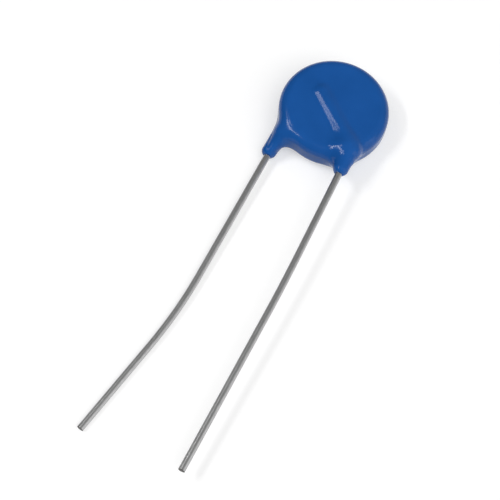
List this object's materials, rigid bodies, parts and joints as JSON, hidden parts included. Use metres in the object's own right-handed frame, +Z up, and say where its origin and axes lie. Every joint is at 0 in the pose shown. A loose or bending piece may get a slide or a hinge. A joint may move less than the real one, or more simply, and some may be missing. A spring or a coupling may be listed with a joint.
{
  "type": "disc varistor",
  "caption": "Round disc varistor in a glossy blue dipped coating, with two long bent tinned wire leads, for clamping voltage surges.",
  "frame": {"origin": "on the surface that the part rests on, under the middle of its box", "axes": "+Z up out of the front face, the leads run toward -Y, +X to the right of the front face"},
  "size_m": [0.0145, 0.0515, 0.0046],
  "materials": {
    "coating": "glossy blue epoxy, dipped",
    "ceramic": "matt grey sintered zinc oxide",
    "silver": "matt fired silver",
    "tinned_wire": "satin tinned copper wire",
    "solder": "smooth solder"
  },
  "bodies": {
    "root": {"coating": "coating", "ceramic_disc": "ceramic", "front_electrode": "silver", "back_electrode": "silver", "front_lead": "tinned_wire", "back_lead": "tinned_wire", "front_solder": "solder", "back_solder": "solder"}
  },
  "joints": []
}
